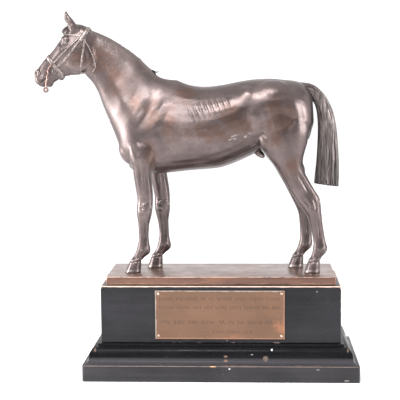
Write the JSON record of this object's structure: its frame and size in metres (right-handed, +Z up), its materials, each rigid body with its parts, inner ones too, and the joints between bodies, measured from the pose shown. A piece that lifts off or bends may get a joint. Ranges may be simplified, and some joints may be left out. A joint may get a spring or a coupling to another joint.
{
  "type": "horse trophy",
  "caption": "Cast standing horse in a double bridle on a bronze plate, with a moulded black wooden plinth and a plaque; stands on a shelf as a prize or ornament.",
  "frame": {"origin": "middle of the plinth's underside", "axes": "+Z up, +X from the horse's head to its tail along the plinth's length, -Y the side with the plaque"},
  "size_m": [0.2853, 0.11, 0.32],
  "materials": {
    "silvered_bronze": "worn silvery brown patina, satin",
    "bit_metal": "rubbed pinkish copper bronze, satin",
    "copper_bronze": "copper brown bronze, satin",
    "ebonised_wood": "ebonised and polished, satin",
    "moulding_wood": "ebonised and polished, worn brown at the mitres",
    "slab_wood": "ebonised, satin, worn at the edges",
    "plaque_metal": "brushed copper bronze, darkened",
    "pin_metal": "copper bronze, satin"
  },
  "bodies": {
    "root": {"horse": "silvered_bronze", "curb_cheek_near": "bit_metal", "curb_cheek_off": "bit_metal", "bronze_plate": "copper_bronze", "plinth_block": "ebonised_wood", "plinth_moulding": "moulding_wood", "plinth_slab": "slab_wood", "plaque": "plaque_metal", "plaque_pin_1": "pin_metal", "plaque_pin_2": "pin_metal", "plaque_pin_3": "pin_metal", "plaque_pin_4": "pin_metal"}
  },
  "joints": []
}
